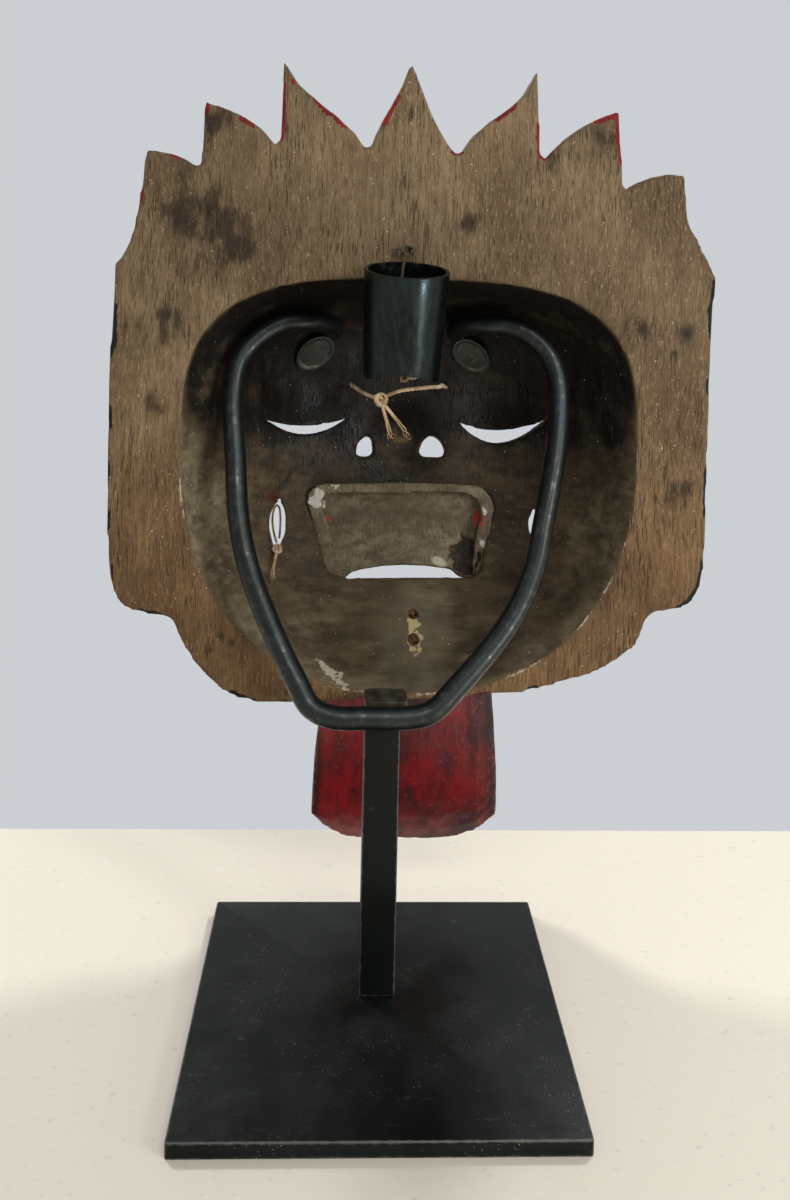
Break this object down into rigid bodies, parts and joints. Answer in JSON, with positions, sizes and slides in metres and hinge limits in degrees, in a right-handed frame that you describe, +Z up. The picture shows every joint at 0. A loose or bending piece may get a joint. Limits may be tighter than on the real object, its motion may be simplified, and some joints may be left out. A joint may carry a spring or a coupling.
{
  "type": "cham mask on a display stand",
  "caption": "Carved and painted wooden dance mask with a flame crown, hollow back and hanging tongue, held by a bent steel cradle on a post and square foot.",
  "frame": {"origin": "centre of the base plate's underside", "axes": "+Z up, the mask's face looks along -Y, +X to the wearer's left"},
  "size_m": [0.2657, 0.207, 0.4015],
  "materials": {
    "black_stand": "satin black paint with a slight green cast, dusty",
    "bare_steel": "dark oiled gunmetal",
    "blued_tube": "blued steel, drawn lengthwise",
    "carved_wood": "aged bare wood behind, worn red and black paint over gesso in front",
    "block_wood": "paler bare wood behind, bone-coloured teeth in front",
    "red_wood": "worn crimson paint",
    "peg_wood": "splintered red-brown wood",
    "string": "old twisted cotton string",
    "dark_string": "old string, dark with grime"
  },
  "bodies": {
    "root": {"base_plate": "black_stand", "post": "black_stand", "post_cap": "bare_steel", "cradle_rod": "bare_steel", "left_hook_pad": "bare_steel", "right_hook_pad": "bare_steel", "socket_tube": "blued_tube", "mask_body": "carved_wood", "mouth_block": "block_wood", "tongue": "red_wood", "upper_peg": "peg_wood", "lower_peg": "peg_wood", "tube_lashing": "string", "lashing_knot": "string", "tube_knot": "string", "top_tie": "dark_string", "strap_cord": "string", "strap_knot": "string"}
  },
  "joints": []
}
